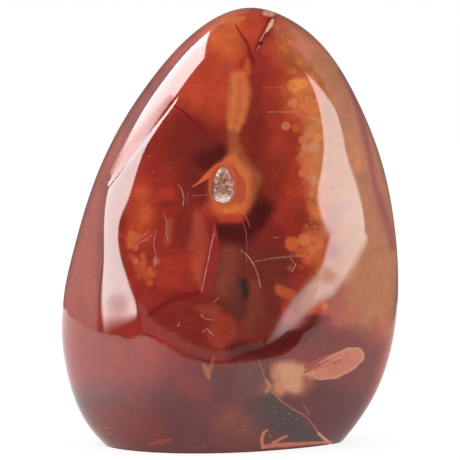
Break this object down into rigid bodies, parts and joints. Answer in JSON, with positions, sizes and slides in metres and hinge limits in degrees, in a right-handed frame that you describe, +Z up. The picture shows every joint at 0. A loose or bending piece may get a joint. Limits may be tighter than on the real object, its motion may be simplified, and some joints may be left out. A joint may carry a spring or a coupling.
{
  "type": "polished carnelian free form",
  "caption": "Egg- to flame-shaped polished carnelian stone that stands on its flat-cut foot, with a small quartz-lined pocket in its front.",
  "frame": {"origin": "middle of the flat-cut foot, at the centre of the stone's plan and at the height of the surface that it stands on", "axes": "+Z up along the stone's height, +Y from the front with the pocket towards the back, +X to the right as seen from the front"},
  "size_m": [0.0846, 0.0484, 0.109],
  "materials": {
    "carnelian": "polished to a glassy gloss",
    "drusy_quartz": "natural crystal faces, sparkling"
  },
  "bodies": {
    "root": {"stone": "carnelian", "quartz_crust": "drusy_quartz"}
  },
  "joints": []
}
